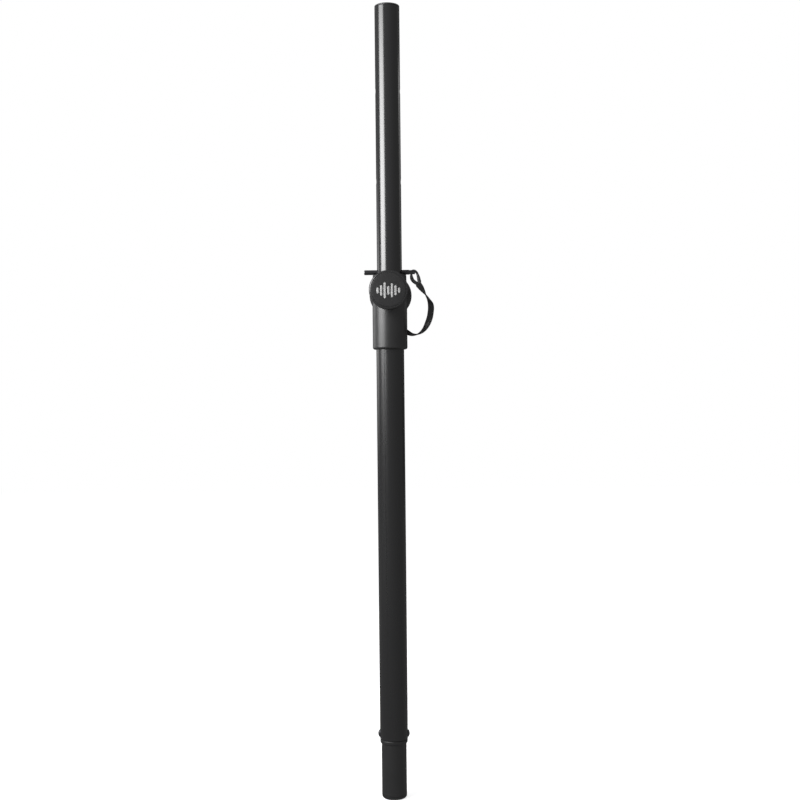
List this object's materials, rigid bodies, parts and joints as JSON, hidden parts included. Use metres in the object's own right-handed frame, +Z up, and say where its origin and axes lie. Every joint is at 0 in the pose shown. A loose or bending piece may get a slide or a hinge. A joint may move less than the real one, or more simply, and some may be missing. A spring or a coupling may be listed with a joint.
{
  "type": "speaker pole",
  "caption": "Telescoping round pole that carries a speaker above a subwoofer: sliding tube, clamp knob, cross pin on a strap and a reducer spigot.",
  "frame": {"origin": "centre of the flat bottom face of the reducer spigot, on the pole's axis", "axes": "+Z up the pole's axis; -Y towards the clamp knob's face; +X towards the safety pin's strap end"},
  "size_m": [0.0978, 0.1076, 1.11],
  "materials": {
    "lower_coat": "satin black powder coat, even, with a soft highlight",
    "upper_coat": "glossier black coat with a crisp highlight",
    "cap_plastic": "black plastic end plug",
    "collar_plastic": "satin black moulded plastic with a fine grain",
    "knob_plastic": "satin black moulded plastic",
    "badge_plastic": null,
    "nylon": "black nylon",
    "zinc_steel": "bright zinc plated steel",
    "pin_steel": "black oxide steel",
    "strap_rubber": "black flexible strap",
    "adapter_plastic": "black moulded plastic",
    "spring_steel": "spring steel"
  },
  "bodies": {
    "lower_section": {"lower_tube": "lower_coat", "collar_housing": "collar_plastic", "collar_bush": "nylon", "collar_screw_low": "zinc_steel", "collar_screw_high": "zinc_steel", "knob_nut": "zinc_steel", "rear_disc": "knob_plastic", "rear_disc_screw": "zinc_steel", "adapter_sleeve": "adapter_plastic", "adapter_end_cap": "adapter_plastic", "button_spring": "spring_steel", "pin_strap_lower": "strap_rubber", "strap_screw": "zinc_steel", "strap_washer": "zinc_steel"},
    "upper_section": {"upper_tube": "upper_coat", "top_cap": "cap_plastic", "upper_tube_plug": "cap_plastic"},
    "safety_pin": {"safety_pin": "pin_steel", "pin_rivet": "zinc_steel", "pin_strap_eye": "strap_rubber", "pin_strap_upper": "strap_rubber"},
    "pressure_pad": {"pressure_pad": "nylon"},
    "knob": {"knob_body": "knob_plastic", "knob_badge": "badge_plastic", "knob_stud": "zinc_steel"},
    "left_button": {"left_button": "pin_steel"},
    "right_button": {"right_button": "pin_steel"}
  },
  "joints": [
    {"name": "height_slide", "type": "slide", "parent": "lower_section", "child": "upper_section", "axis": [0, 0, 1], "range_m": [0, 0.254]},
    {"name": "pin_pull", "type": "slide", "parent": "upper_section", "child": "safety_pin", "axis": [1, 0, 0], "range_m": [0, 0.056]},
    {"name": "clamp_travel", "type": "slide", "parent": "lower_section", "child": "pressure_pad", "axis": [0, -1, 0], "range_m": [0, 0.00375]},
    {"name": "knob_turn", "type": "hinge", "parent": "pressure_pad", "child": "knob", "pos_m": [0, -0.045, 0.7075], "axis": [0, -1, 0], "range_deg": [0, 1080]},
    {"name": "left_press", "type": "slide", "parent": "lower_section", "child": "left_button", "axis": [1, 0, 0], "range_m": [0, 0.003], "stiffness_N_per_m": 1500, "springref_m": -0.003, "deforming": ["button_spring"]},
    {"name": "right_press", "type": "slide", "parent": "lower_section", "child": "right_button", "axis": [-1, 0, 0], "range_m": [0, 0.003], "stiffness_N_per_m": 1500, "springref_m": -0.003, "deforming": ["button_spring"]}
  ],
  "couplings": [
    {"joint": "knob_turn", "follows": "clamp_travel", "rad_per_m": 5026.5}
  ]
}
